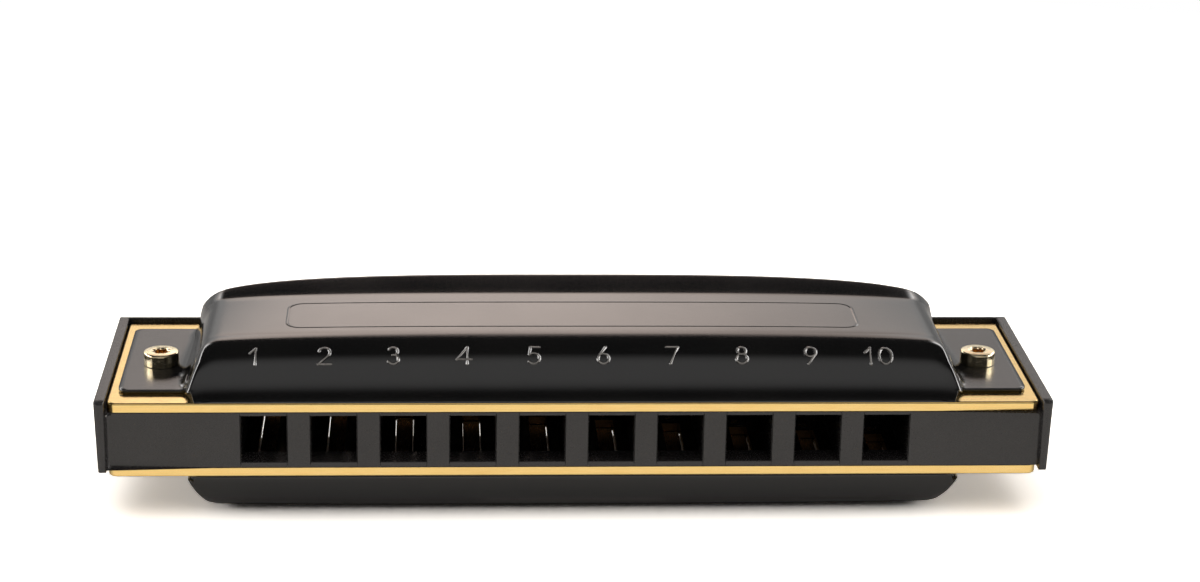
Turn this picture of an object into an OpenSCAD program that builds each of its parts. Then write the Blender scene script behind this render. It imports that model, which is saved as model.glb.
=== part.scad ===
// Ten-hole diatonic harmonica.
// A moulded comb lies between two reed plates. Each plate carries ten reeds, and a
// pressed sheet cover with screwed-down ears closes each side.
// Millimetres. X runs along the holes, the mouth side faces -Y, and +Z is up.
// The origin is below the middle of the body, at the height of its lowest point.

/* [Body] */
// Overall length over the end walls
body_l = 103.5; // [100:0.5:126]
// Overall depth from the end walls' mouth edge to the rear rim
body_d = 28.3; // [27:0.1:36]
// Distance that the mouth face lies behind the end walls' edge
face_setback = 1.1; // [0.2:0.1:3]

/* [Comb] */
// Height of the comb between the reed plates
comb_h = 6.35; // [5:0.05:9]
// Spacing of the mouth holes
hole_pitch = 7.5; // [6.8:0.1:8]
// Width of a mouth hole
hole_w = 4.9; // [3.6:0.1:5]
// Height of the sill under a mouth hole
sill_h = 0.62; // [0.3:0.02:1.2]
// Height of the lintel over a mouth hole
lintel_h = 0.44; // [0.3:0.02:1.2]
// Depth of the sill and the lintel
sill_d = 3.1; // [1.5:0.1:4]
// Width of an air chamber
chamber_w = 5.0; // [4:0.1:5.6]
// Free space in a chamber past the longest reed
chamber_end = 0.45; // [0.2:0.05:1.5]
// Thickness of an end wall
wall_t = 1.15; // [0.8:0.05:2]
// Draft of the end walls' outer faces, in degrees
wall_draft = 1.9; // [0:0.1:4]
// Thickness of the rim behind the reed plates
rear_rim_t = 0.5; // [0.4:0.05:1.5]
// Height of the rim over the upper reed plate
rim_rise = 0.47; // [0.1:0.01:1]
// Depth of the rim below the comb's lower face
rim_drop = 0.2; // [0.1:0.05:0.8]

/* [Reed plates] */
// Thickness of a reed plate
plate_t = 1.05; // [0.8:0.05:1.5]
// Gap between a reed plate and the rim around it
plate_gap = 0.1; // [0.05:0.05:0.4]
// Corner radius of a reed plate
plate_corner_r = 1.2; // [0.5:0.1:3]
// Rounding of a reed plate's outer front edge
plate_edge_r = 0.35; // [0.1:0.05:0.6]
// Width of a reed
reed_w = 1.9; // [1.5:0.05:2.4]
// Thickness of a reed
reed_t = 0.25; // [0.15:0.01:0.4]
// Gap between a reed and the sides and tip of its slot
reed_gap = 0.05; // [0.03:0.01:0.15]
// Length of the shortest blow reed's tongue
blow_short = 5.6; // [4.5:0.1:8]
// Length added to the tongue from one blow reed to the next
blow_step = 1.12; // [0.6:0.02:1.2]
// Length of the shortest draw reed's tongue
draw_short = 5.9; // [4.5:0.1:8]
// Length added to the tongue from one draw reed to the next
draw_step = 1.13; // [0.6:0.01:1.2]
// Length of a reed's riveted pad
pad_l = 3.0; // [2.2:0.1:4]
// Width of a reed's riveted pad
pad_w = 3.0; // [2.4:0.1:4]
// Diameter of a rivet
rivet_d = 1.1; // [0.8:0.1:1.6]
// Diameter of a rivet's head
rivet_head_d = 1.7; // [1.2:0.1:2.2]
// Height of a rivet's head
rivet_head_h = 0.22; // [0.1:0.02:0.5]

/* [Covers] */
// Height of a cover at the crown of its rear edge
cover_h = 6.5; // [5.5:0.1:9]
// Thickness of the cover sheet
sheet_t = 0.45; // [0.3:0.05:0.7]
// Distance from the mouth face to the front wall's foot
front_y = 0.05; // [0:0.05:0.5]
// Slope of the front wall, in degrees
front_slope = 53; // [40:1:65]
// Radius of the bend between the front wall and the top panel
shoulder_r = 7; // [3:0.5:8]
// Slope of the flat top panel, in degrees
panel_slope = 1.5; // [0:0.1:4]
// Distance from the mouth face to the panel's rear line
panel_rear_y = 17.2; // [14:0.1:20]
// Rise from the panel's rear line to the crown
crown_rise = 0.62; // [0.2:0.02:1.2]
// Distance from the rear rim's back face to the covers' rear edge
rear_inset = 2.0; // [0.5:0.1:4]
// Depth of the lip along the rear edge
lip_h = 0.8; // [0.5:0.1:2]
// Lean of the flanks from upright, in degrees
flank_lean = 18; // [8:1:26]
// Radius of the bend between a flank and the top panel
flank_r = 2.2; // [1:0.1:3]
// Length of an ear along the body
ear_l = 7.1; // [6:0.1:9]
// Distance from an ear's outer edge to the end wall's outer face
ear_margin = 2.25; // [1.6:0.05:4]
// Distance from the mouth face to an ear's front edge
ear_front_y = 3.1; // [2:0.1:5]
// Distance from an ear's rear edge to the cover's rear edge
ear_rear_gap = 2.2; // [1:0.1:5]
// Corner radius of an ear
ear_corner_r = 0.9; // [0.4:0.1:1.5]
// Width of the relief notch at a cover's front corners
notch_w = 0.8; // [0.4:0.1:1.2]

/* [Fasteners] */
// Distance from the mouth face to the cover screws
screw_y = 11.45; // [8:0.05:14]
// Distance from an ear's outer edge to its screw
screw_edge = 3.95; // [3:0.05:5]
// Diameter of a cover screw's shaft
screw_d = 2.0; // [1.6:0.1:2.2]
// Diameter of a cover screw's head
head_d = 3.9; // [3.2:0.1:4.4]
// Height of a cover screw's head
head_h = 1.5; // [0.8:0.1:2]
// Size across the lobes of the screw's socket
socket_d = 1.75; // [1.2:0.05:2.2]
// Depth of the screw's socket
socket_h = 0.8; // [0.4:0.1:1.2]
// Size of a nut across its flats
nut_w = 4.0; // [3.4:0.1:5]
// Thickness of a nut
nut_h = 1.6; // [1:0.1:2]
// Diameter of a reed plate screw's shaft
plate_screw_d = 1.4; // [1.2:0.1:1.6]
// Diameter of a reed plate screw's head
plate_head_d = 2.5; // [2:0.1:3]
// Height of a reed plate screw's head
plate_head_h = 0.7; // [0.4:0.1:1]
// Clearance around a fastener in its hole
bolt_gap = 0.05; // [0.02:0.01:0.2]

/* [Hidden] */

holes = 10;
eps = 0.01;
over = 1;
round_fn = 48;

// Levels above the comb's lower face, and depths behind the mouth face.
comb_z = cover_h + plate_t;
comb_d = body_d - face_setback;
face_y = face_setback - body_d / 2;
hole_h = comb_h - sill_h - lintel_h;
rim_top = comb_h + plate_t + rim_rise;
inner_x = body_l / 2 - wall_t;

// Reed plates and reeds.
plate_x = inner_x - plate_gap;
plate_d = comb_d - rear_rim_t - plate_gap;
slot_w = reed_w + 2 * reed_gap;
flex_gap = 0.05;
blow_pad_y = sill_d + 0.3;
blow_root_y = blow_pad_y + pad_l;
draw_tip_y = sill_d + 0.6;

// Covers.
ear_x = body_l / 2 - ear_margin;
foot_x = ear_x - ear_l;
rear_y = comb_d - rear_inset;
ear_rear_y = rear_y - ear_rear_gap;
panel_h = cover_h - crown_rise;
crown_slope = atan(crown_rise / (rear_y - panel_rear_y));
arch_power = 3;
arch_root = 0.26;
arch_tilt = 5;
arch_steps = 40;
bend_steps = 12;

// Fasteners.
screw_x = ear_x - screw_edge;
upper_ear_z = comb_h + plate_t + sheet_t;
lower_ear_z = -plate_t - sheet_t;
shaft_end = 0.4;
head_chamfer = 0.3;
plate_screw_at = [
    [-foot_x + 2.9, 8], [foot_x - 2.9, 8],
    [-4 * hole_pitch, comb_d - 3.3], [0, comb_d - 3.3], [4 * hole_pitch, comb_d - 3.3]
];

function hole_x(k) = (k - (holes + 1) / 2) * hole_pitch;
function blow_l(k) = blow_short + (holes - k) * blow_step;
function draw_l(k) = draw_short + (holes - k) * draw_step;
function draw_root_y(k) = draw_tip_y + draw_l(k);
function chamber_y(k) = max(blow_root_y + blow_l(k), draw_root_y(k)) + chamber_end;

// Height of the rear edge's arch of height h and half width w, x from the middle.
function arch(x, h, w) = h * pow(max(0, 1 - pow(abs(x) / w, arch_power)), arch_root);
function arch_x(i, w) = w * sin(90 * i / arch_steps);

// Point where the line through p at angle a meets the line through q at angle b.
function meet(p, a, q, b) =
    let (s = ((q[0] - p[0]) * sin(b) - (q[1] - p[1]) * cos(b)) / sin(b - a))
    [p[0] + s * cos(a), p[1] + s * sin(a)];

// Points of a bend of radius r at the corner p, from direction a clockwise to direction b.
function bend(p, a, b, r) =
    let (
        reach = r * tan((a - b) / 2),
        centre = [p[0] - reach * cos(a) + r * sin(a), p[1] - reach * sin(a) - r * cos(a)]
    )
    [for (i = [0 : bend_steps])
        let (t = a + (b - a) * i / bend_steps)
        [centre[0] - r * sin(t), centre[1] + r * cos(t)]];

// Point past p, at distance l, on the line from q.
function past(p, q, l) = p + (p - q) * l / norm(p - q);

// Places children in the comb's frame: y = 0 on the mouth face, z = 0 below the comb.
module at_comb() {
    translate([0, face_y, comb_z]) children();
}

module at_upper_cover() {
    at_comb() translate([0, 0, comb_h + plate_t]) children();
}

module at_lower_cover() {
    at_comb() translate([0, 0, -plate_t]) mirror([0, 0, 1]) children();
}

// Draws a side view, y across and z up, along X between -x and x.
module along_x(x) {
    rotate([90, 0, 90]) translate([0, 0, -x]) linear_extrude(2 * x) children();
}

module rounded_rect(x0, x1, y0, y1, r) {
    translate([x0 + r, y0]) square([x1 - x0 - 2 * r, y1 - y0]);
    translate([x0, y0 + r]) square([x1 - x0, y1 - y0 - 2 * r]);
    for (x = [x0 + r, x1 - r])
        for (y = [y0 + r, y1 - r])
            translate([x, y]) circle(r, $fn = round_fn);
}

module screw_holes(z0, z1) {
    for (s = [-1, 1])
        translate([s * screw_x, screw_y, z0])
            cylinder(h = z1 - z0, d = screw_d + 2 * bolt_gap, $fn = round_fn);
}

module plate_screw_holes(z0, z1) {
    for (p = plate_screw_at)
        translate([p[0], p[1], z0])
            cylinder(h = z1 - z0, d = plate_screw_d + 2 * bolt_gap, $fn = round_fn);
}

// ---- Comb ----

module end_wall() {
    slant = (rim_top + rim_drop) * tan(wall_draft);
    translate([0, comb_d, 0])
        rotate([90, 0, 0])
            linear_extrude(body_d)
                polygon([
                    [inner_x - eps, -rim_drop],
                    [body_l / 2 - slant, -rim_drop],
                    [body_l / 2, rim_top],
                    [inner_x, rim_top],
                    [inner_x - eps, comb_h]
                ]);
}

module comb() {
    color([0.07, 0.07, 0.07])
    at_comb()
    difference() {
        union() {
            translate([-inner_x, 0, 0])
                cube([2 * inner_x, comb_d, comb_h]);
            end_wall();
            mirror([1, 0, 0]) end_wall();
            translate([-inner_x, comb_d - rear_rim_t, -rim_drop])
                cube([2 * inner_x, rear_rim_t, rim_top + rim_drop]);
        }
        for (k = [1 : holes]) {
            translate([hole_x(k) - hole_w / 2, -over, sill_h])
                cube([hole_w, sill_d + over + eps, hole_h]);
            translate([hole_x(k) - chamber_w / 2, sill_d, -over])
                cube([chamber_w, chamber_y(k) - sill_d, comb_h + 2 * over]);
        }
        screw_holes(-over, comb_h + over);
        plate_screw_holes(-over, comb_h + over);
    }
}

// ---- Reed plates ----

module plate_outline() {
    rounded_rect(-plate_x, plate_x, 0, plate_d, plate_corner_r);
}

// Rounds the edge at y = 0 and z = plate_t.
module edge_round() {
    along_x(plate_x + over)
        difference() {
            translate([-over, plate_t - plate_edge_r])
                square([over + plate_edge_r, plate_edge_r + over]);
            translate([plate_edge_r, plate_t - plate_edge_r])
                circle(plate_edge_r, $fn = round_fn);
        }
}

// A plate with its outer face at z = plate_t. Slot k runs from from_y[k] to to_y[k].
module reed_plate(from_y, to_y, rivet_y) {
    difference() {
        linear_extrude(plate_t)
            difference() {
                plate_outline();
                for (k = [1 : holes]) {
                    translate([hole_x(k) - slot_w / 2, from_y[k - 1]])
                        square([slot_w, to_y[k - 1] - from_y[k - 1]]);
                    translate([hole_x(k), rivet_y[k - 1]])
                        circle(d = rivet_d, $fn = round_fn);
                }
            }
        edge_round();
        screw_holes(-over, plate_t + over);
        plate_screw_holes(-over, plate_t + over);
    }
}

module upper_reed_plate() {
    color([0.85, 0.65, 0.3])
    at_comb() translate([0, 0, comb_h])
        reed_plate(
            [for (k = [1 : holes]) blow_root_y],
            [for (k = [1 : holes]) blow_root_y + blow_l(k) + reed_gap],
            [for (k = [1 : holes]) blow_root_y - pad_l / 2]
        );
}

module lower_reed_plate() {
    color([0.85, 0.65, 0.3])
    at_comb() mirror([0, 0, 1])
        reed_plate(
            [for (k = [1 : holes]) draw_tip_y - reed_gap],
            [for (k = [1 : holes]) draw_root_y(k)],
            [for (k = [1 : holes]) draw_root_y(k) + pad_l / 2]
        );
}

// ---- Reeds ----

// The blow reeds lie under the upper plate, fixed at the mouth end.
module blow_tongue(k) {
    color([0.8, 0.6, 0.35])
    at_comb()
        translate([hole_x(k) - reed_w / 2, blow_root_y + flex_gap, comb_h - reed_t])
            cube([reed_w, blow_l(k) - flex_gap, reed_t]);
}

// The draw reeds lie under the lower plate, fixed at the rear end.
module draw_tongue(k) {
    color([0.8, 0.6, 0.35])
    at_comb()
        translate([hole_x(k) - reed_w / 2, draw_tip_y, -plate_t - reed_t])
            cube([reed_w, draw_l(k) - flex_gap, reed_t]);
}

module pad(k, y) {
    difference() {
        translate([hole_x(k) - pad_w / 2, y, 0])
            cube([pad_w, pad_l, reed_t]);
        translate([hole_x(k), y + pad_l / 2, -over])
            cylinder(h = reed_t + 2 * over, d = rivet_d, $fn = round_fn);
    }
}

// A rivet with its head below z = 0, and its end flush with the plate's far face.
module rivet(k, y) {
    translate([hole_x(k), y + pad_l / 2, 0]) {
        cylinder(h = reed_t + plate_t, d = rivet_d, $fn = round_fn);
        translate([0, 0, -rivet_head_h])
            cylinder(h = rivet_head_h, d1 = rivet_head_d - rivet_head_h, d2 = rivet_head_d,
                $fn = round_fn);
    }
}

module blow_reed_1() { blow_tongue(1); }
module blow_reed_2() { blow_tongue(2); }
module blow_reed_3() { blow_tongue(3); }
module blow_reed_4() { blow_tongue(4); }
module blow_reed_5() { blow_tongue(5); }
module blow_reed_6() { blow_tongue(6); }
module blow_reed_7() { blow_tongue(7); }
module blow_reed_8() { blow_tongue(8); }
module blow_reed_9() { blow_tongue(9); }
module blow_reed_10() { blow_tongue(10); }

module draw_reed_1() { draw_tongue(1); }
module draw_reed_2() { draw_tongue(2); }
module draw_reed_3() { draw_tongue(3); }
module draw_reed_4() { draw_tongue(4); }
module draw_reed_5() { draw_tongue(5); }
module draw_reed_6() { draw_tongue(6); }
module draw_reed_7() { draw_tongue(7); }
module draw_reed_8() { draw_tongue(8); }
module draw_reed_9() { draw_tongue(9); }
module draw_reed_10() { draw_tongue(10); }

module blow_reed_pads() {
    color([0.8, 0.6, 0.35])
    at_comb() translate([0, 0, comb_h - reed_t])
        for (k = [1 : holes]) pad(k, blow_pad_y);
}

module draw_reed_pads() {
    color([0.8, 0.6, 0.35])
    at_comb() translate([0, 0, -plate_t - reed_t])
        for (k = [1 : holes]) pad(k, draw_root_y(k));
}

module blow_reed_rivets() {
    color([0.75, 0.6, 0.4])
    at_comb() translate([0, 0, comb_h - reed_t])
        for (k = [1 : holes]) rivet(k, blow_pad_y);
}

module draw_reed_rivets() {
    color([0.75, 0.6, 0.4])
    at_comb() translate([0, 0, -plate_t - reed_t])
        for (k = [1 : holes]) rivet(k, draw_root_y(k));
}

// ---- Covers ----

// Side view of the space under a cover, with every wall moved inward by d.
module side_profile(d, z0) {
    front = [front_y + d * sin(front_slope), -d * cos(front_slope)];
    panel = [panel_rear_y + d * sin(panel_slope), panel_h - d * cos(panel_slope)];
    crown = [rear_y + d * sin(crown_slope), cover_h - d * cos(crown_slope)];
    foot = meet(front, front_slope, [0, z0], 0);
    corner = meet(front, front_slope, panel, panel_slope);
    kink = meet(panel, panel_slope, crown, crown_slope);
    back = meet(crown, crown_slope, [rear_y - d, 0], 90);
    polygon(concat(
        [foot],
        bend(corner, front_slope, panel_slope, shoulder_r - d),
        [kink, back, [rear_y - d, z0]]
    ));
}

// Front view of the flanks, moved inward by d.
module flank_profile(d, z0) {
    top = cover_h + over;
    lean = tan(flank_lean);
    inset = d / cos(flank_lean);
    low = foot_x - inset - (z0 - sheet_t) * lean;
    high = foot_x - inset - (top - sheet_t) * lean;
    polygon([[-low, z0], [low, z0], [high, top], [-high, top]]);
}

// Removes what lies outside the bend between a flank and the panel.
module flank_bend(d) {
    level = panel_h - d;
    x = foot_x - d / cos(flank_lean) - (level - sheet_t) * tan(flank_lean);
    b = bend([x, level], 0, flank_lean - 90, flank_r - d);
    polygon(concat(
        [past(b[0], b[1], over)],
        [for (i = [1 : bend_steps - 1]) b[i]],
        [past(b[bend_steps], b[bend_steps - 1], over), [x + 2 * over, level + 2 * over]]
    ));
}

// Front view of the rear edge's arch, moved inward by d and lowered by drop.
module arch_profile(d, drop, z0) {
    w = foot_x - d;
    h = cover_h - d - drop;
    polygon(concat(
        [[-w, z0]],
        [for (i = [-arch_steps : arch_steps]) [arch_x(i, w), arch(arch_x(i, w), h, w)]],
        [[w, z0]]
    ));
}

// The form that a cover encloses, moved inward by d, with its foot at z0.
module cover_form(d, z0) {
    intersection() {
        along_x(foot_x + over) side_profile(d, z0);
        difference() {
            translate([0, rear_y + over, 0])
                rotate([90, 0, 0])
                    linear_extrude(rear_y + 2 * over) flank_profile(d, z0);
            for (s = [0, 1])
                mirror([s, 0, 0])
                    translate([0, panel_rear_y, 0])
                        rotate([90 + panel_slope, 0, 0])
                            translate([0, 0, -rear_y])
                                linear_extrude(2 * rear_y) flank_bend(d);
        }
        translate([0, rear_y, 0])
            rotate([90 - arch_tilt, 0, 0])
                translate([0, 0, -over])
                    linear_extrude(rear_y + 2 * over) arch_profile(d, 0, z0 - rear_y * sin(arch_tilt));
    }
}

module ear() {
    difference() {
        linear_extrude(sheet_t)
            difference() {
                union() {
                    rounded_rect(foot_x, ear_x, ear_front_y, ear_rear_y, ear_corner_r);
                    translate([foot_x - sheet_t, ear_front_y + notch_w])
                        square([ear_l / 2, ear_rear_y - ear_front_y - notch_w]);
                }
            }
        translate([screw_x, screw_y, -over])
            cylinder(h = sheet_t + 2 * over, d = screw_d + 2 * bolt_gap, $fn = round_fn);
    }
}

module cover() {
    notch_top = 2.6;
    difference() {
        union() {
            cover_form(0, 0);
            ear();
            mirror([1, 0, 0]) ear();
        }
        cover_form(sheet_t, -over);
        translate([0, rear_y + over, 0])
            rotate([90, 0, 0])
                linear_extrude(over + 2 * sheet_t)
                    intersection() {
                        arch_profile(sheet_t, lip_h, -over);
                        flank_profile(sheet_t, -over);
                    }
        for (s = [-1, 1])
            translate([s * foot_x, 0, -over])
                translate([-notch_w, -over, 0])
                    cube([2 * notch_w, ear_front_y + over + notch_w, notch_top + over]);
    }
}

module upper_cover() {
    color([0.1, 0.1, 0.1])
    at_upper_cover() cover();
}

module lower_cover() {
    color([0.1, 0.1, 0.1])
    at_lower_cover() cover();
}

// ---- Fasteners ----

module socket() {
    lobe = socket_d / 5;
    circle(d = socket_d - lobe, $fn = round_fn);
    for (a = [0 : 60 : 300])
        rotate(a) translate([socket_d / 2 - lobe / 2, 0]) circle(d = lobe, $fn = round_fn);
}

module cover_screw() {
    difference() {
        union() {
            cylinder(h = head_h - head_chamfer, d = head_d, $fn = round_fn);
            translate([0, 0, head_h - head_chamfer])
                cylinder(h = head_chamfer, d1 = head_d, d2 = head_d - 2 * head_chamfer,
                    $fn = round_fn);
            translate([0, 0, lower_ear_z - nut_h - shaft_end - upper_ear_z])
                cylinder(h = upper_ear_z - lower_ear_z + nut_h + shaft_end + eps, d = screw_d,
                    $fn = round_fn);
        }
        translate([0, 0, head_h - socket_h])
            linear_extrude(socket_h + over) socket();
    }
}

module cover_screws() {
    color([0.85, 0.8, 0.65])
    at_comb()
        for (s = [-1, 1])
            translate([s * screw_x, screw_y, upper_ear_z]) cover_screw();
}

module cover_nuts() {
    color([0.85, 0.8, 0.65])
    at_comb()
        for (s = [-1, 1])
            translate([s * screw_x, screw_y, lower_ear_z - nut_h])
                difference() {
                    cylinder(h = nut_h, d = nut_w / cos(30), $fn = 6);
                    translate([0, 0, -over])
                        cylinder(h = nut_h + 2 * over, d = screw_d + 0.02, $fn = round_fn);
                }
}

module plate_screws() {
    color([0.8, 0.7, 0.5])
    at_comb()
        for (p = plate_screw_at)
            translate([p[0], p[1], -plate_t]) {
                cylinder(h = comb_h + 2 * plate_t + eps, d = plate_screw_d, $fn = round_fn);
                translate([0, 0, comb_h + 2 * plate_t])
                    cylinder(h = plate_head_h, d1 = plate_head_d, d2 = plate_head_d - 0.4,
                        $fn = round_fn);
            }
}

comb();
upper_reed_plate();
lower_reed_plate();
blow_reed_1();
blow_reed_2();
blow_reed_3();
blow_reed_4();
blow_reed_5();
blow_reed_6();
blow_reed_7();
blow_reed_8();
blow_reed_9();
blow_reed_10();
draw_reed_1();
draw_reed_2();
draw_reed_3();
draw_reed_4();
draw_reed_5();
draw_reed_6();
draw_reed_7();
draw_reed_8();
draw_reed_9();
draw_reed_10();
blow_reed_pads();
draw_reed_pads();
blow_reed_rivets();
draw_reed_rivets();
upper_cover();
lower_cover();
cover_screws();
cover_nuts();
plate_screws();
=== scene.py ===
"""Looks of a ten-hole diatonic harmonica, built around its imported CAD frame."""

import math
from collections import Counter

import bmesh
import bpy
import numpy as np
from mathutils import Matrix, Vector


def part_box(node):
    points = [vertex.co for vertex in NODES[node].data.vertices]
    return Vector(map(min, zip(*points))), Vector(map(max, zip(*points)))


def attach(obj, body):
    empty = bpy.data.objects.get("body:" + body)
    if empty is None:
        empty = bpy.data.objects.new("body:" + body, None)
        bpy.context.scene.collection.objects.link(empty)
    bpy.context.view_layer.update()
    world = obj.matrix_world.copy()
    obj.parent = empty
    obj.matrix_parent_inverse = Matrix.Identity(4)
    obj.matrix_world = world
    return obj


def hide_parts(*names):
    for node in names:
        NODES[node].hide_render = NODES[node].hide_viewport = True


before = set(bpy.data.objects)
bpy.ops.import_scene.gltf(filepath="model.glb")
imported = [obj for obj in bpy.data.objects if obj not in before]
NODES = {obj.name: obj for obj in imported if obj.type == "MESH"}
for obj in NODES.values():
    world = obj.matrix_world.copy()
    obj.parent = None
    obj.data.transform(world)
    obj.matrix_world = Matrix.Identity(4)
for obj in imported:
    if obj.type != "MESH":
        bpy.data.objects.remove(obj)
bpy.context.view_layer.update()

# Lengths in this script are millimetres in the CAD frame, and become metres in the meshes.
MM = 0.001
BODY = "harmonica_body"


def box_mm(node):
    low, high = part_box(node)
    return low / MM, high / MM


COMB_LO, COMB_HI = box_mm("comb")
PLATE_LO, PLATE_HI = box_mm("upper_reed_plate")
LOWER_LO, LOWER_HI = box_mm("lower_reed_plate")
COVER_HI = box_mm("upper_cover")[1]

FACE_Y = PLATE_LO.y                      # mouth face
UPPER_Z = PLATE_HI.z                     # outer face of the upper plate
LOWER_Z = LOWER_LO.z                     # outer face of the lower plate
COVER_H = COVER_HI.z - UPPER_Z
REAR_Y = COVER_HI.y - FACE_Y
EAR_X = COVER_HI.x
HOLES = 10
PITCH = 7.5


# ---------------------------------------------------------------- meshes

def in_scene(name, data):
    ob = bpy.data.objects.new(name, data)
    bpy.context.scene.collection.objects.link(ob)
    return ob


def new_object(name, mesh, material=None):
    if material:
        mesh.materials.append(material)
    for p in mesh.polygons:
        p.use_smooth = True
    return in_scene(name, mesh)


def mesh_object(name, points, faces, material=None):
    mesh = bpy.data.meshes.new(name)
    mesh.from_pydata([tuple(float(c) * MM for c in p) for p in points], [], faces)
    mesh.validate()
    mesh.update()
    return new_object(name, mesh, material)


def apply_modifiers(ob):
    dg = bpy.context.evaluated_depsgraph_get()
    mesh = bpy.data.meshes.new_from_object(ob.evaluated_get(dg))
    old = ob.data
    ob.modifiers.clear()
    ob.data = mesh
    bpy.data.meshes.remove(old)
    return ob


def weigh_normals(ob, angle):
    """Shades faces smooth up to an angle between them, and keeps the large flat ones flat."""
    ob.data.set_sharp_from_angle(angle=math.radians(angle))
    flat = ob.modifiers.new("flat", "WEIGHTED_NORMAL")
    flat.keep_sharp = True
    flat.weight = 100
    return apply_modifiers(ob)


def smooth_copy(node, name, material):
    """The CAD shape itself, with its curved faces shaded smooth."""
    bm = bmesh.new()
    bm.from_mesh(NODES[node].data)
    bmesh.ops.remove_doubles(bm, verts=bm.verts, dist=1e-7)
    mesh = bpy.data.meshes.new(name)
    bm.to_mesh(mesh)
    bm.free()
    mesh.materials.clear()
    return weigh_normals(new_object(name, mesh, material), 32)


def bevelled(ob):
    """Rounds the edges, each by as many millimetres as its bevel weight."""
    mod = ob.modifiers.new("edges", "BEVEL")
    mod.width = 1.0 * MM
    mod.segments = 3
    mod.limit_method = "WEIGHT"
    mod.use_clamp_overlap = False
    mod.harden_normals = False
    apply_modifiers(ob)
    for p in ob.data.polygons:
        p.use_smooth = True
    return weigh_normals(ob, 50)


def ring_loft(rings):
    """Points and faces of a closed skin through rings of equal length."""
    n = len(rings[0])
    points = [p for ring in rings for p in ring]
    faces = []
    for r in range(len(rings) - 1):
        for i in range(n):
            a, b = r * n + i, r * n + (i + 1) % n
            faces.append((a, b, b + n, a + n))
    faces.append(tuple(range(n - 1, -1, -1)))
    faces.append(tuple(range((len(rings) - 1) * n, len(rings) * n)))
    return points, faces


def place(ob, body, node):
    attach(ob, body)
    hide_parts(node)


# ---------------------------------------------------------------- materials

class Graph:
    """A node tree with a short way to add and join its nodes."""

    def __init__(self, tree):
        self.tree = tree

    def node(self, kind, **values):
        made = self.tree.nodes.new(kind)
        for key, value in values.items():
            if key in made.inputs:
                made.inputs[key].default_value = value
            else:
                setattr(made, key, value)
        return made

    def link(self, a, b):
        self.tree.links.new(a, b)

    def feed(self, sockets, values):
        """Links outputs to sockets, or writes plain numbers, vectors and colours into them."""
        for socket, value in zip(sockets, values):
            if isinstance(value, bpy.types.NodeSocket):
                self.link(value, socket)
            else:
                socket.default_value = (*value, 1) if socket.type == "RGBA" else value

    def range(self, value, low, high, out_low, out_high, **settings):
        made = self.node("ShaderNodeMapRange", **settings)
        for key, number in (("From Min", low), ("From Max", high),
                            ("To Min", out_low), ("To Max", out_high)):
            made.inputs[key].default_value = number
        self.link(value, made.inputs["Value"])
        return made.outputs["Result"]

    def mix(self, factor, a, b):
        """A colour between a and b."""
        made = self.node("ShaderNodeMix", data_type="RGBA")
        self.feed([s for s in made.inputs if s.type == "RGBA"], (a, b))
        self.link(factor, made.inputs["Factor"])
        return next(s for s in made.outputs if s.type == "RGBA")

    def math(self, operation, *values):
        made = self.node("ShaderNodeMath", operation=operation)
        self.feed(made.inputs, values)
        return made.outputs[0]

    def add(self, first, *others):
        for value in others:
            first = self.math("ADD", first, value)
        return first

    def multiply(self, first, *others):
        for value in others:
            first = self.math("MULTIPLY", first, value)
        return first

    def away(self, value, centre=None):
        """How far a value is from a centre, which is 0 if none is given."""
        if centre is not None:
            value = self.math("SUBTRACT", value, centre)
        return self.math("ABSOLUTE", value)

    def vector(self, operation, *values):
        made = self.node("ShaderNodeVectorMath", operation=operation)
        self.feed(made.inputs, values)
        return made.outputs

    def xyz(self, vector):
        made = self.node("ShaderNodeSeparateXYZ")
        self.link(vector, made.inputs[0])
        return made.outputs

    def join(self, kind, *values):
        """A node whose first inputs are fed in order, and its output if it has one."""
        made = self.node(kind)
        self.feed(made.inputs, values)
        return made.outputs[0] if made.outputs else None


class Shader(Graph):
    """A Principled material with procedural detail."""

    def __init__(self, name, colour, roughness, metallic=0.0, **sockets):
        self.material = bpy.data.materials.new(name)
        self.material.use_nodes = True
        super().__init__(self.material.node_tree)
        self.bsdf = self.tree.nodes["Principled BSDF"]
        self.bsdf.inputs["Base Color"].default_value = (*colour, 1)
        self.bsdf.inputs["Roughness"].default_value = roughness
        self.bsdf.inputs["Metallic"].default_value = metallic
        for key, value in sockets.items():
            self.bsdf.inputs[key].default_value = value
        self.coords = self.node("ShaderNodeTexCoord").outputs["Object"]

    def noise(self, scale, stretch=(1, 1, 1), detail=3.0, rough=0.5):
        """A noise with its size in millimetres: scale is features per millimetre."""
        mapping = self.node("ShaderNodeMapping", Scale=tuple(scale / MM * s for s in stretch))
        self.link(self.coords, mapping.inputs["Vector"])
        tex = self.node("ShaderNodeTexNoise", Scale=1.0, Detail=detail, Roughness=rough)
        self.link(mapping.outputs["Vector"], tex.inputs["Vector"])
        return tex.outputs["Fac"]

    def tones(self, noise, low, high, a, b):
        """A colour that goes from a to b while the noise goes from low to high."""
        return self.mix(self.range(noise, low, high, 0, 1), a, b)

    def bump(self, height, strength, distance):
        made = self.node("ShaderNodeBump", Strength=strength, Distance=distance * MM)
        self.link(height, made.inputs["Height"])
        self.link(made.outputs["Normal"], self.bsdf.inputs["Normal"])

    def set(self, socket, value):
        self.link(value, self.bsdf.inputs[socket])


def comb_plastic():
    m = Shader("comb_plastic", (0.011, 0.0104, 0.0104), 0.25, IOR=1.52)
    cloud = m.noise(0.25, detail=2)
    grain = m.noise(9, detail=2, rough=0.7)
    m.set("Base Color", m.tones(cloud, 0.3, 0.7, (0.010, 0.0092, 0.0094), (0.014, 0.013, 0.0131)))
    m.set("Roughness", m.range(grain, 0.3, 0.7, 0.2, 0.3))
    m.bump(grain, 0.3, 0.003)
    return m.material


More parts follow.
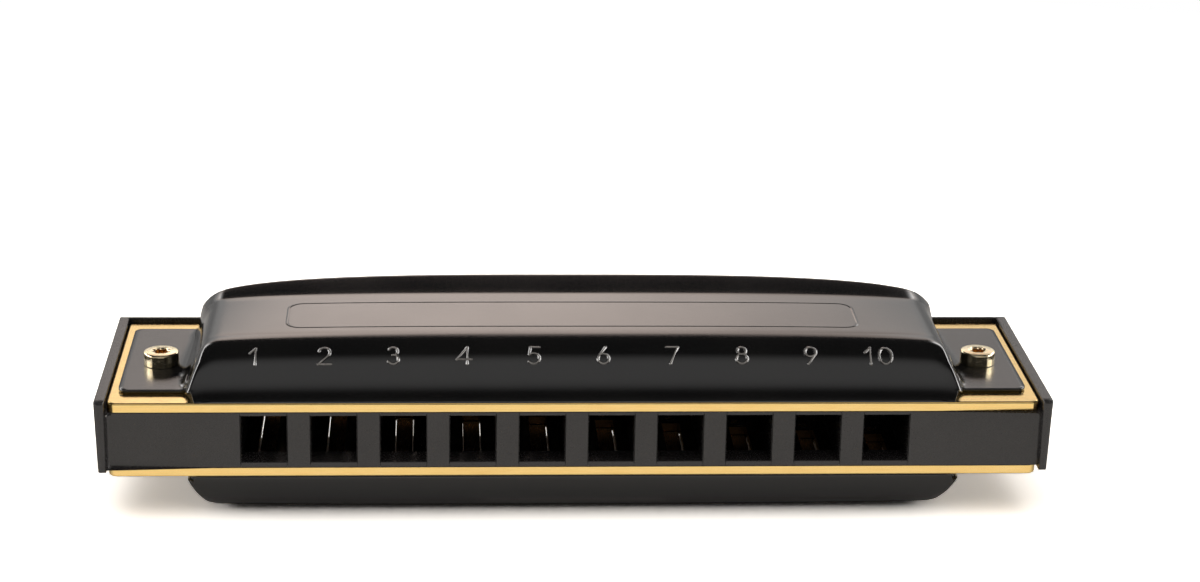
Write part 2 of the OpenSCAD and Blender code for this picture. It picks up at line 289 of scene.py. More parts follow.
def plate_brass():
    m = Shader("plate_brass", (0.80, 0.53, 0.17), 0.24, metallic=1.0)
    streak = m.noise(0.35, stretch=(1, 14, 14), detail=4, rough=0.6)
    fine = m.noise(7, detail=2, rough=0.7)
    stain = m.noise(0.12, detail=3)
    warm = m.tones(streak, 0.35, 0.65, (0.83, 0.58, 0.21), (0.88, 0.64, 0.26))
    worn = m.mix(m.range(stain, 0.55, 0.75, 0, 0.3), warm, (0.76, 0.5, 0.18))
    # The face on the comb is painted dark brown and the slots' walls a darker brass: painted shade for the
    # dark chambers and slots. The rest is bright.
    x, y, z = m.xyz(m.coords)
    middle_y, middle_z = (PLATE_LO.y + PLATE_HI.y) / 2, (PLATE_LO.z + LOWER_HI.z) / 2
    from_middle = m.away(z, middle_z * MM)
    edge = (PLATE_LO.z - middle_z) * MM
    inside = m.range(from_middle, edge + 0.02 * MM, edge + 0.05 * MM, 1, 0)
    half = (PLATE_HI.y - PLATE_LO.y) / 2
    off_edge = m.range(m.away(y, middle_y * MM), (half - 0.9) * MM, (half - 0.8) * MM, 1, 0)
    off_end = m.range(m.away(x), (PLATE_HI.x - 0.9) * MM, (PLATE_HI.x - 0.8) * MM, 1, 0)
    wall = m.range(from_middle, (UPPER_Z - middle_z - 0.06) * MM, (UPPER_Z - middle_z - 0.03) * MM, 1, 0)
    # Painted shade on the slots' walls.
    painted_slot_shade = m.mix(m.multiply(off_edge, off_end, wall), worn, (0.34, 0.25, 0.14))
    # Painted shade on the face that lies on the comb.
    m.set("Base Color", m.mix(inside, painted_slot_shade, (0.04, 0.026, 0.012)))
    m.set("Roughness", m.range(m.add(streak, m.multiply(fine, 0.5)), 0.5, 1.0, 0.14, 0.26))
    m.bump(m.add(streak, fine), 0.2, 0.0005)
    return m.material


def reed_bronze():
    m = Shader("reed_bronze", (0.75, 0.45, 0.17), 0.3, metallic=1.0)
    filed = m.noise(1.6, stretch=(7, 0.6, 7), detail=4, rough=0.6)
    # The reeds are painted far darker than bronze, a painted shade for the dark chambers and covers they lie
    # in; the filed grain is real.
    m.set("Base Color", m.tones(filed, 0.35, 0.65, (0.16, 0.09, 0.035), (0.26, 0.155, 0.065)))
    m.set("Roughness", m.range(filed, 0.3, 0.7, 0.24, 0.36))
    m.bump(filed, 0.2, 0.0008)
    return m.material


def rivet_brass():
    m = Shader("rivet_brass", (0.8, 0.52, 0.2), 0.3, metallic=1.0)
    dents = m.noise(3, detail=3)
    m.set("Base Color", m.tones(dents, 0.3, 0.7, (0.72, 0.45, 0.16), (0.85, 0.6, 0.27)))
    m.set("Roughness", m.range(dents, 0.3, 0.7, 0.24, 0.4))
    m.bump(dents, 0.4, 0.01)
    return m.material


def cover_black():
    m = Shader("cover_black", (0.004, 0.004, 0.0042), 0.12, IOR=1.55)
    grain = m.noise(11, detail=2, rough=0.7)
    cloud = m.noise(0.09, detail=3)
    edges = m.node("ShaderNodeNewGeometry").outputs["Pointiness"]
    base = m.tones(cloud, 0.35, 0.65, (0.0036, 0.0036, 0.0038), (0.0048, 0.0047, 0.0047))
    base = m.tones(edges, 0.53, 0.62, base, (0.02, 0.019, 0.018))
    # The numbers' crests are lighter, which stands in for the light they catch.
    crest = m.node("ShaderNodeAttribute", attribute_name="crest").outputs["Fac"]
    painted_crest_highlight = m.multiply(m.range(crest, 0.45, 0.95, 0, 1), m.range(m.noise(2.5), 0.3, 0.7, 0.45, 1))
    m.set("Base Color", m.mix(painted_crest_highlight, base, (0.17, 0.16, 0.15)))
    satin = m.range(m.add(grain, m.multiply(cloud, 0.6)), 0.5, 1.1, 0.1, 0.155)
    ears = m.range(m.away(m.xyz(m.coords)["X"]), EAR_MATT[0] * MM, EAR_MATT[1] * MM, 0, 0.1)
    m.set("Roughness", m.add(satin, ears))
    m.bump(grain, 0.15, 0.0012)
    return m.material


def fastener_steel():
    m = Shader("fastener_steel", (0.86, 0.74, 0.52), 0.09, metallic=1.0)
    swirl = m.noise(2.2, detail=3)
    plated = m.tones(swirl, 0.35, 0.65, (0.80, 0.67, 0.42), (0.90, 0.79, 0.56))
    # The socket of a cover screw is painted dark inside: a painted shade in its recess.
    x, y, z = m.xyz(m.coords)
    low, high = box_mm("cover_screws")
    out = m.math("SUBTRACT", m.away(x), (high.x - HEAD_R) * MM)
    back = m.math("SUBTRACT", y, (low.y + high.y) / 2 * MM)
    radius = m.math("SQRT", m.add(m.multiply(out, out), m.multiply(back, back)))
    inside = m.range(radius, 0.9 * MM, 1.0 * MM, 1, 0)
    deep = m.range(z, (high.z - 0.2) * MM, (high.z - 0.08) * MM, 1, 0)
    m.set("Base Color", m.mix(m.multiply(inside, deep), plated, (0.34, 0.19, 0.06)))
    m.set("Roughness", m.range(swirl, 0.3, 0.7, 0.12, 0.2))
    m.bump(swirl, 0.1, 0.002)
    return m.material


HEAD_R = 1.95             # radius of a cover screw's head
EAR_MATT = (42.2, 43.5)   # distance from the middle over which the covers turn to their matt ears
COMB, BRASS, REED = comb_plastic(), plate_brass(), reed_bronze()
RIVET, BLACK, STEEL = rivet_brass(), cover_black(), fastener_steel()


# ---------------------------------------------------------------- covers

FRONT_Y = 0.05            # foot of the front wall, behind the mouth face
SHEET = 0.45              # thickness of the sheet
EAR_L = 7.1               # length of an ear along the body
FOOT_X = EAR_X - EAR_L    # foot of the flanks
EAR_FRONT, EAR_REAR, EAR_R = 3.1, REAR_Y - 2.2, 0.9
SLIT_START, SLIT_END = 3.8, 7.0     # where the sheet is open between an ear and the flank
SLIT_GAP = 0.24
FILLET = 0.9              # reach of the bend between a flank and its ear
FILLET_END = 0.35         # its reach at both ends of the ear
PANEL_REAR = 17.2
PANEL_H = COVER_H - 0.62  # height of the panel's rear line
ROLL_Y, ROLL_R = REAR_Y - 0.7, 0.5
LIP_H = 0.8
FLAT_X = 38.0             # the sheet's cross-sections are evenly divided up to here
ARCH_X = 41.9             # and the crown's arch is followed up to here
CORNER_Y = 0.75           # the front wall's foot runs round the corner up to here
FACE_LEAN_DY = 0.02       # step over which the wall's slope is measured

# Slope of the sheet, in degrees, against the distance behind the mouth face.
FRONT_SLOPES = [(0.05, 72), (0.35, 67), (0.8, 61), (1.6, 53.5), (2.4, 47), (3.2, 39.5),
                (4.0, 29.5), (4.7, 17.5), (5.3, 8.8), (5.9, 4.8), (6.8, 3.0), (8.0, 1.7),
                (9.0, 1.5), (PANEL_REAR, 1.5)]
CROWN_SLOPES = [(PANEL_REAR, 1.5), (19.1, 1.8), (19.9, 6.0), (21.0, 7.6), (22.8, 7.2), (ROLL_Y, 6.0)]


def integrate(knots, start, end):
    """Heights along a run of slopes, scaled to go from start to end."""
    ys, slopes = zip(*knots)
    y = np.linspace(ys[0], ys[-1], 3000)
    tan = np.tan(np.radians(np.interp(y, ys, slopes)))
    v = np.concatenate([[0], np.cumsum((tan[1:] + tan[:-1]) / 2 * np.diff(y))])
    return y, start + v * (end - start) / v[-1]


front_y, front_v = integrate(FRONT_SLOPES, 0, PANEL_H)
crown_y, crown_v = integrate(CROWN_SLOPES, PANEL_H, COVER_H - 0.004)   # clear of the CAD box
PROFILE_Y = np.concatenate([front_y, crown_y[1:]])
PROFILE_V = np.concatenate([front_v, crown_v[1:]])
PROFILE_ARC = np.concatenate(
    [[0], np.cumsum(np.hypot(np.diff(PROFILE_Y), np.diff(PROFILE_V)))])


def arch(x, h, w):
    """Height of a flat arch of height h and half-width w."""
    return h * np.maximum(0, 1 - (np.abs(x) / w) ** 3) ** 0.26


def soft_min(a, b, k):
    """The smaller of a and b, rounded where they are closer than k."""
    h = np.maximum(k - np.abs(a - b), 0) / k
    return np.minimum(a, b) - h * h * k / 4


def height(x, y):
    """Height of the outer sheet over the plate, without its ears."""
    x = np.abs(x)
    drop = COVER_H - arch(np.minimum(x, ARCH_X), COVER_H, FOOT_X)
    top = np.interp(y, PROFILE_Y, PROFILE_V)
    top = top - drop * np.interp(y, [0, 3, 7, PANEL_REAR + 2, REAR_Y], [0, 0.1, 0.2, 0.28, 0.42])
    top = top - 0.7 * (np.maximum(x - 38.6, 0) / 2.4) ** 2.4 * np.interp(y, [2, 6], [0.3, 1])
    lean = np.tan(np.radians(np.interp(y, [0, 8, 17, REAR_Y], [14, 13, 14, 7])))
    flank = SHEET + (FOOT_X - x) / lean
    round_k = np.interp(y, [0, 1.5, 3, 8, 17, REAR_Y], [1.8, 3.6, 5.2, 5.4, 4.4, 3.0])
    return soft_min(top, flank, round_k)


def bow(points):
    """Draws the top of the rear edge forward towards both ends."""
    x, y, v = points.T
    drop = COVER_H - arch(np.minimum(np.abs(x), 42), COVER_H, FOOT_X)
    t = np.clip((y - PANEL_REAR - 1) / (REAR_Y - PANEL_REAR - 1), 0, 1)
    shift = np.minimum(1.4 * drop, 3.2) * t * np.clip(v / 4, 0, 1)
    return np.stack([x, y - shift, v], -1)


def end_height(y):
    """Height at which a cross-section stops: at the ear's bend, or at the free edge."""
    return np.interp(
        y, [FRONT_Y, CORNER_Y, 1.2, SLIT_END - 1, SLIT_END + 1.5, EAR_REAR - 5, EAR_REAR - 2.5, EAR_REAR,
            EAR_REAR + 0.25],
        [0.0, 0.88, SHEET + FILLET_END, SHEET + 2 * FILLET_END, SHEET + 2 * FILLET, SHEET + FILLET,
         SHEET + FILLET, SHEET + FILLET_END, 0.02])


def end_x(y):
    """Distance from the middle at which the cross-section at y stops."""
    if y < CORNER_Y:
        return 41.1 + 0.5 * np.interp(y, [FRONT_Y, CORNER_Y], [0, 1])
    xs = np.linspace(30, FOOT_X + 0.25, 5000)
    below = np.nonzero(height(xs, y) < end_height(y))[0]
    return xs[below[0]] if len(below) else xs[-1]


# Strokes of the digits 0 to 9, one unit high: ("line", points) or ("arc", x, z, rx, rz, from, to).
DIGITS = {
    0: [("arc", 0, 0.5, 0.34, 0.5, 0, 360)],
    1: [("line", (-0.21, 0.7), (0.06, 1), (0.06, 0))],
    2: [("arc", 0, 0.71, 0.29, 0.29, 165, -38), ("line", (0.23, 0.53), (-0.31, 0), (0.33, 0))],
    3: [("arc", -0.07, 0.76, 0.24, 0.24, 150, -90), ("arc", -0.07, 0.26, 0.28, 0.26, 90, -150)],
    4: [("line", (0.16, 0), (0.16, 1), (-0.38, 0.26), (0.36, 0.26))],
    5: [("line", (0.27, 1), (-0.17, 1), (-0.24, 0.56)), ("arc", -0.02, 0.31, 0.31, 0.31, 130, -140)],
    6: [("arc", 0, 0.29, 0.29, 0.29, 0, 360), ("line", (0.12, 1), (-0.26, 0.42))],
    7: [("line", (-0.3, 1), (0.29, 1), (-0.13, 0))],
    8: [("arc", 0, 0.77, 0.22, 0.22, 0, 360), ("arc", 0, 0.28, 0.29, 0.28, 0, 360)],
    9: [("arc", 0, 0.71, 0.29, 0.29, 0, 360), ("line", (0.26, 0.58), (-0.12, 0))],
}
DIGIT_H = 2.05            # height of a digit along the front wall
DIGIT_ARC = 4.33          # distance along the wall from its foot to a digit's base
DIGIT_STEP, DIGIT_SHIFT = 7.535, -0.89   # spacing of the numbers, and the row's middle
# Half the cross-section of a pressed stroke: distance from its middle line and height over the wall.
# The foot points come first. A facet between foot and crest that faces up the wall is flatter than
# the opposite one, because its foot points lie further out.
RIDGE = [(0.195, -0.1), (0.185, 0.0), (0.172, 0.006), (0.162, 0.013), (0.062, 0.096),
         (0.05, 0.104), (0.03, 0.109)]
FOOT_POINTS = 4
FACET_TILT = math.radians(39.6)
FLATTEST_TILT = math.radians(18)
LEVEL_STROKE_DROP = 0.16  # how much lower a stroke along the body is than one up the wall


def paths_of(stroke):
    """The straight pieces of a line, or the whole of an arc."""
    if stroke[0] == "line":
        return [list(pair) for pair in zip(stroke[1:], stroke[2:])]
    cx, cz, rx, rz, start, end = stroke[1:]
    turns = np.radians(np.linspace(start, end, 33))
    return [[(cx + rx * math.cos(t), cz + rz * math.sin(t)) for t in turns]]


def on_wall(x, arc, rise):
    """Point of the front wall or the panel, some way out along its normal."""
    y = float(np.interp(arc, PROFILE_ARC, PROFILE_Y))
    v = float(height(x, y))
    slope = math.atan2(float(height(x, y + FACE_LEAN_DY)) - v, FACE_LEAN_DY)
    return (x, y - rise * math.sin(slope), v + rise * math.cos(slope))


def ridge_section(arc, side, drop, flatter):
    """Points across a ridge. If asked, a facet that faces up the wall follows the wall's slope."""
    y = float(np.interp(arc, PROFILE_ARC, PROFILE_Y))
    slope = math.atan2(float(height(0, y + FACE_LEAN_DY)) - float(height(0, y)), FACE_LEAN_DY)
    halves = []
    for sign in (-1, 1):
        up = max(0.0, sign * side[1]) ** 1.5 if flatter else 0.0
        tilt = FACET_TILT + up * (max(FLATTEST_TILT, slope - math.radians(2.5)) - FACET_TILT)
        width = RIDGE[FOOT_POINTS - 1][0] - RIDGE[FOOT_POINTS][0]
        out = width * (drop * math.tan(FACET_TILT) / math.tan(tilt) - 1)
        halves.append([(sign * (w + (out if i < FOOT_POINTS else 0)), h * drop)
                       for i, (w, h) in enumerate(RIDGE)])
    return halves[0] + halves[1][::-1]


def ridge_mesh(path, lift=0.0, tall=1.0, flatter=True):
    """A closed ridge along a path of (x, arc) points on the sheet, with round ends."""
    pts = [np.array(p) for p in path]
    closed = np.linalg.norm(pts[0] - pts[-1]) < 1e-6
    if closed:
        pts = pts[:-1]
    n = len(pts)
    frames = []           # point, direction, side, stretch at a bend, and width towards an end
    for i, p in enumerate(pts):
        steps = []
        if i > 0 or closed:
            steps.append(p - pts[i - 1])
        if i < n - 1 or closed:
            steps.append(pts[(i + 1) % n] - p)
        dirs = [d / np.linalg.norm(d) for d in steps]
        mean = sum(dirs)
        mean /= np.linalg.norm(mean)
        side = np.array([-mean[1], mean[0]])
        stretch = 1 / max(0.4, abs(float(np.dot(side, [-dirs[0][1], dirs[0][0]]))))
        frames.append((p, mean, side, stretch, 1.0))
    if not closed:
        caps = [(math.cos(t), RIDGE[0][0] * math.sin(t)) for t in np.radians([88, 60, 30])]
        start, ahead, side = frames[0][:3]
        frames = [(start - ahead * far, ahead, side, 1, wide) for wide, far in caps] + frames
        end, ahead, side = frames[-1][:3]
        frames += [(end + ahead * far, ahead, side, 1, wide) for wide, far in caps[::-1]]
    points, faces, m = [], [], 2 * len(RIDGE)
    for p, run, side, stretch, wide in frames:
        top = max(wide, 0.05) ** 0.5 * tall
        drop = 1 - LEVEL_STROKE_DROP * run[0] ** 2
        for w, h in ridge_section(p[1], side, drop, flatter):
            q = p + side * w * stretch * wide
            points.append(on_wall(q[0], q[1], h * top + lift if h > 0 else h))
    rows = len(frames)
    for i in range(rows if closed else rows - 1):
        j = (i + 1) % rows
        for c in range(m):
            d = (c + 1) % m
            faces.append((i * m + c, i * m + d, j * m + d, j * m + c))
    if not closed:
        faces.append(tuple(range(m)))
        faces.append(tuple(range((rows - 1) * m, rows * m))[::-1])
    return points, faces


def digits_mesh():
    """The numbers over the mouth holes. Crossing strokes differ a little in height."""
    points, faces = [], []
    for k in range(1, HOLES + 1):
        centre = DIGIT_SHIFT + (k - (HOLES + 1) / 2) * DIGIT_STEP
        glyphs = [(1, -0.53), (0, 0.33)] if k == 10 else [(k, 0.0)]
        for digit, shift in glyphs:
            paths = [path for stroke in DIGITS[digit] for path in paths_of(stroke)]
            for number, path in enumerate(paths):
                path = [(centre + (u + shift) * DIGIT_H, DIGIT_ARC + w * DIGIT_H) for u, w in path]
                p, f = ridge_mesh(path, 0.003 * number)
                faces += [tuple(len(points) + i for i in face) for face in f]
                points += p
    return points, faces


def frame_mesh():
    """A plain rounded frame pressed into the panel."""
    x_end, radius, straight = 30.0, 1.6, 28
    low, high = (float(np.interp(y, PROFILE_Y, PROFILE_ARC)) for y in (8.9, 16.6))
    path = []
    for cx, cy, start in ((x_end, high - radius, 0), (-x_end, high - radius, 90),
                          (-x_end, low + radius, 180), (x_end, low + radius, 270)):
        turns = [math.radians(start + 15 * i) for i in range(7)]
        path += [(cx + radius * math.cos(a), cy + radius * math.sin(a)) for a in turns]
        if start == 0:
            path += [(x, high) for x in np.arange(straight, -straight - 0.1, -4)]
        elif start == 180:
            path += [(x, low) for x in np.arange(-straight, straight + 0.1, 4)]
    return ridge_mesh(path + path[:1], tall=0.3, flatter=False)


def cover_rows(fine):
    """Distances behind the mouth face at which the cover has a cross-section."""
    step = 1 if fine else 2
    bend_end = np.interp(8.0, PROFILE_Y, PROFILE_ARC)
    arcs = np.linspace(0, bend_end, 64 // step)
    ys = list(np.interp(arcs, PROFILE_ARC, PROFILE_Y))
    ys += list(np.linspace(8.4, PANEL_REAR, 24 // step)) + list(np.linspace(17.6, ROLL_Y, 26 // step))
    round_end = (0, 0.06, 0.2, 0.45, EAR_R)
    fixed = [EAR_FRONT + d for d in round_end] + [EAR_REAR - d for d in round_end]
    fixed += [SLIT_END, EAR_REAR + 0.25]
    ys = [y for y in ys if min(abs(y - f) for f in fixed) > 0.05]
    return np.unique(np.round(ys + fixed, 4))


def cover_grid(xs_flat, ys):
    """Points of the shell, row by row: x, height."""
    flank_n = 26
    rows = []
    for y in ys:
        xe = end_x(y)
        fine = np.linspace(FLAT_X, xe, 600)
        v = height(fine, y)
        arc = np.concatenate([[0], np.cumsum(np.hypot(np.diff(fine), np.diff(v)))])
        side = np.interp(np.linspace(0, arc[-1], flank_n + 1)[1:], arc, fine)
        x = np.concatenate([-side[::-1], xs_flat, side])
        v = height(x, np.full(len(x), y))
        v[0] = v[-1] = min(v[0], end_height(y)) if y >= CORNER_Y else v[0]
        rows.append((x, v))
    return np.array([r[0] for r in rows]), np.array([r[1] for r in rows])


def add_ridges(ob):
    """Adds the numbers and the frame to a cover, and marks the numbers' crests for a painted highlight."""
    bm = bmesh.new()
    bm.from_mesh(ob.data)
    crest = bm.verts.layers.float.new("crest")
    section = 2 * len(RIDGE)
    # Only the numbers' crests carry the painted highlight; the frame's carry none.
    for (points, faces), painted_crest_highlight in ((digits_mesh(), 1.0), (frame_mesh(), 0.0)):
        verts = [bm.verts.new([c * MM for c in p]) for p in points]
        for i, vert in enumerate(verts):
            on_top = FOOT_POINTS <= i % section < section - FOOT_POINTS
            vert[crest] = painted_crest_highlight if on_top else 0.0
        made = [bm.faces.new([verts[i] for i in face]) for face in faces]
        bmesh.ops.recalc_face_normals(bm, faces=made)
    bm.to_mesh(ob.data)
    bm.free()


def rolled_edge(x, v):
    """Rows that go on from the last one, where the rear edge rolls inward and ends in a lip."""
    dx, dv = np.gradient(x), np.gradient(v)
    length = np.hypot(dx, dv)
    in_x, in_v = dv / length, -dx / length
    before = height(x, np.full(len(x), ROLL_Y - 0.2))
    start = -np.arctan((v - before) / 0.2)
    start[np.abs(x) > 41.5] = 0
    rows = []
    for s in np.linspace(0, 1, 9)[1:]:
        turn = start + (math.pi / 2 - start) * s
        along = (REAR_Y - ROLL_Y) * (np.sin(turn) - np.sin(start)) / (1 - np.sin(start))
        inner = ROLL_R * (np.cos(start) - np.cos(turn))
        rows.append((x + in_x * inner, ROLL_Y + along, v + in_v * inner))
    lip = arch(x, COVER_H - SHEET - LIP_H, FOOT_X - SHEET)
    lip = np.clip(v - ROLL_R - lip, 0.03, LIP_H) * np.clip((FOOT_X - 0.3 - np.abs(x)) / 2.5, 0, 1) + 0.03
    last = rows[-1]
    return rows + [(last[0] + in_x * lip * s, last[1], last[2] + in_v * lip * s) for s in (0.5, 1.0)]


def add_ears(points, faces, x, v, ys):
    """Goes on from the flanks' last columns, round a bend and out to the tips of the ears."""
    columns = x.shape[1]
    for side, edge in ((-1, 0), (1, columns - 1)):
        previous = None
        for j, y in enumerate(ys):
            if not EAR_FRONT - 1e-3 <= y <= EAR_REAR + 1e-3:
                continue
            slit = np.interp(y, [SLIT_START, SLIT_START + 0.7, SLIT_END - 1.2, SLIT_END], [0, 1, 1, 0])
            x0, v0 = x[j][edge] * side, v[j][edge]
            past = max(EAR_FRONT + EAR_R - y, y - (EAR_REAR - EAR_R), 0)
            tip = EAR_X - EAR_R + math.sqrt(max(EAR_R ** 2 - past ** 2, 0))
            x2 = FOOT_X + v0 - SHEET
            row = [((1 - s) ** 2 * x0 + 2 * s * (1 - s) * FOOT_X + s * s * x2 + SLIT_GAP * slit,
                    (1 - s) ** 2 * v0 + (1 - (1 - s) ** 2) * SHEET) for s in np.linspace(0, 1, 11)]
            inner = row[-1][0]
            row += [(inner + (tip - inner) * s, SHEET) for s in np.linspace(0, 1, 13)[1:]]
            ids = []
            if slit <= 0:         # here the ear grows out of the flank's own edge
                ids = [j * columns + edge]
                row = row[1:]
            ids += range(len(points), len(points) + len(row))
            points += [(side * rx, y, rv) for rx, rv in row]
            if previous:
                for a in range(len(ids) - 1):
                    quad = (previous[a], previous[a + 1], ids[a + 1], ids[a])
                    faces.append(quad if side > 0 else quad[::-1])
            previous = ids


def build_cover(name, node, upper):
    """One sheet with its ears. Only the upper one is finely divided and carries numbers."""
    flat = np.linspace(-FLAT_X, FLAT_X, 153 if upper else 77)
    ys = cover_rows(upper)
    x, v = cover_grid(flat, ys)
    y = np.repeat(ys[:, None], x.shape[1], 1)
    x, y, v = (np.concatenate([a, rows]) for a, rows in zip((x, y, v), zip(*rolled_edge(x[-1], v[-1]))))
    nx = x.shape[1]
    points = bow(np.stack([x, y, v], -1).reshape(-1, 3)).tolist()
    faces = [(j * nx + i, j * nx + i + 1, (j + 1) * nx + i + 1, (j + 1) * nx + i)
             for j in range(len(x) - 1) for i in range(nx - 1)]
    add_ears(points, faces, x, v, ys)
    ob = mesh_object(name, points, faces, BLACK)
    solid = ob.modifiers.new("sheet", "SOLIDIFY")
    solid.thickness = SHEET * MM
    solid.offset = -1
    solid.use_even_offset = False
    apply_modifiers(ob)
    if upper:
        add_ridges(ob)
    base, flip = (UPPER_Z, 1) if upper else (LOWER_Z, -1)
    for vert in ob.data.vertices:
        x, y, v = vert.co
        vert.co = (x, y + FACE_Y * MM, (base * MM) + flip * min(max(v, 0.0), COVER_H * MM))
    if not upper:
        ob.data.flip_normals()
    for p in ob.data.polygons:
        p.use_smooth = True
    ob.data.update()
    place(ob, BODY, node)


build_cover("cover_upper_sheet", "upper_cover", True)
build_cover("cover_lower_sheet", "lower_cover", False)


# ---------------------------------------------------------------- comb and plates

HOLE_W, CHAMBER_W = 4.9, 5.0
SILL_H, LINTEL_H, SILL_D = 0.62, 0.44, 3.1     # the web under and over a mouth hole
WALL_T, WALL_DRAFT = 1.15, 1.9           # end walls, and their slant in degrees
RIM_T = 0.5                              # rear rim
CHAMBER_END = 0.45                       # room behind a chamber's reeds
FACE_Z = LOWER_HI.z                      # lower face of the comb
TOP_Z = PLATE_LO.z                       # and its upper face
HOLE_LOW, HOLE_HIGH = FACE_Z + SILL_H, TOP_Z - LINTEL_H
WALL_X = COMB_HI.x - WALL_T              # inner face of an end wall

# Rounding of the comb's edges.
ROUND_END, ROUND_FRONT, ROUND_FRONT_LOW = 0.45, 0.28, 0.18   # the end walls' front
ROUND_HOLE, ROUND_FACE, ROUND_CORNER = 0.11, 0.07, 0.75      # the mouth face
ROUND_TOP, ROUND_LOW, ROUND_REAR = 0.12, 0.10, 0.3


def hole_x(k):
    return (k - (HOLES + 1) / 2) * PITCH


def comb_rounding(a, b):
    """How much the comb's edge from a to b is rounded, by the planes it lies in."""
    def on(axis, level):
        return max(abs(a[axis] - level), abs(b[axis] - level)) < 1e-3

    low_x, high_x = sorted((abs(a.x), abs(b.x)))
    top, bottom, at_outer = on(2, COMB_HI.z), on(2, COMB_LO.z), low_x > WALL_X + 0.5
    if on(1, COMB_LO.y):
        if bottom:
            return ROUND_FRONT_LOW
        return ROUND_END if at_outer and not top else ROUND_FRONT
    if on(1, FACE_Y):
        if high_x < WALL_X - 1 and HOLE_LOW - 0.01 < min(a.z, b.z) and max(a.z, b.z) < HOLE_HIGH + 0.01:
            return ROUND_HOLE
        return ROUND_CORNER if WALL_X - low_x < 1e-3 and high_x - WALL_X < 1e-3 else ROUND_FACE
    if top:
        return ROUND_TOP
    if bottom and at_outer:
        return ROUND_LOW
    return ROUND_REAR if at_outer and on(1, COMB_HI.y) else 0.0


def build_comb():
    """The comb as a grid of cells, each solid or empty, with its outer edges rounded."""
    back = COMB_HI.y - RIM_T
    ends = [max(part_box(f"{kind}_reed_{k}")[1].y / MM for kind in ("blow", "draw")) + CHAMBER_END
            for k in range(1, HOLES + 1)]
    xs = [-COMB_HI.x, -WALL_X]
    for k in range(1, HOLES + 1):
        xs += [hole_x(k) + d for d in (-CHAMBER_W / 2, -HOLE_W / 2, HOLE_W / 2, CHAMBER_W / 2)]
    xs += [WALL_X, COMB_HI.x]
    ys = sorted({COMB_LO.y, FACE_Y, FACE_Y + SILL_D, *[round(e, 4) for e in ends], back, COMB_HI.y})
    zs = [COMB_LO.z, FACE_Z, HOLE_LOW, HOLE_HIGH, TOP_Z, COMB_HI.z]

    def solid(x, y, z):
        if abs(x) > WALL_X or y > back:
            return True
        if y < FACE_Y or not FACE_Z < z < TOP_Z:
            return False
        k = round(x / PITCH + (HOLES + 1) / 2)
        if 1 <= k <= HOLES:
            off = abs(x - hole_x(k))
            if y < FACE_Y + SILL_D:
                return not (off < HOLE_W / 2 and HOLE_LOW < z < HOLE_HIGH)
            return not (off < CHAMBER_W / 2 and y < ends[k - 1])
        return True

    def middle(values, i):
        return (values[i] + values[i + 1]) / 2

    cells = {(i, j, k) for i in range(len(xs) - 1) for j in range(len(ys) - 1) for k in range(len(zs) - 1)
             if solid(middle(xs, i), middle(ys, j), middle(zs, k))}
    slant = math.tan(math.radians(WALL_DRAFT))
    ids, points, faces = {}, [], []

    def point(i, j, k):
        if (i, j, k) not in ids:
            x, z = xs[i], zs[k]
            if i in (0, len(xs) - 1):
                x -= math.copysign((COMB_HI.z - z) * slant, x)
            ids[i, j, k] = len(points)
            points.append((x, ys[j], z))
        return ids[i, j, k]

    sides = (((-1, 0, 0), ((0, 0, 0), (0, 0, 1), (0, 1, 1), (0, 1, 0))),
             ((1, 0, 0), ((1, 0, 0), (1, 1, 0), (1, 1, 1), (1, 0, 1))),
             ((0, -1, 0), ((0, 0, 0), (1, 0, 0), (1, 0, 1), (0, 0, 1))),
             ((0, 1, 0), ((0, 1, 0), (0, 1, 1), (1, 1, 1), (1, 1, 0))),
             ((0, 0, -1), ((0, 0, 0), (0, 1, 0), (1, 1, 0), (1, 0, 0))),
             ((0, 0, 1), ((0, 0, 1), (1, 0, 1), (1, 1, 1), (0, 1, 1))))
    for i, j, k in sorted(cells):
        for (di, dj, dk), corners in sides:
            if (i + di, j + dj, k + dk) not in cells:
                faces.append([point(i + a, j + b, k + c) for a, b, c in corners])
    ob = mesh_object("comb_body", points, faces, COMB)
    bm = bmesh.new()
    bm.from_mesh(ob.data)
    weight = bm.edges.layers.float.new("bevel_weight_edge")
    for e in bm.edges:
        if len(e.link_faces) == 2 and e.calc_face_angle(0) >= math.radians(30):
            e[weight] = comb_rounding(*(v.co / MM for v in e.verts))
    bm.to_mesh(ob.data)
    bm.free()
    return bevelled(ob)


def face_loops(mesh, z):
    """Closed outlines, in millimetres, of the mesh's flat face at a height."""
    at_z = {v.index for v in mesh.vertices if abs(v.co.z / MM - z) < 1e-3}
    spot = {i: tuple(round(c / MM, 4) for c in mesh.vertices[i].co[:2]) for i in at_z}
    count = Counter(tuple(sorted((spot[a], spot[b]))) for p in mesh.polygons
                    if all(i in at_z for i in p.vertices) for a, b in p.edge_keys)
    after = {}
    for (a, b), n in count.items():
        if n == 1 and a != b:
            after.setdefault(a, []).append(b)
            after.setdefault(b, []).append(a)
    loops, left = [], set(after)
    while left:
        start = min(left)
        loop, here, last = [start], start, None
        left.discard(start)
        while True:
            there = next((q for q in after[here] if q != last and q in left), None)
            if there is None:
                break
            loop.append(there)
            left.discard(there)
            last, here = here, there
        loops.append(loop)
    return loops


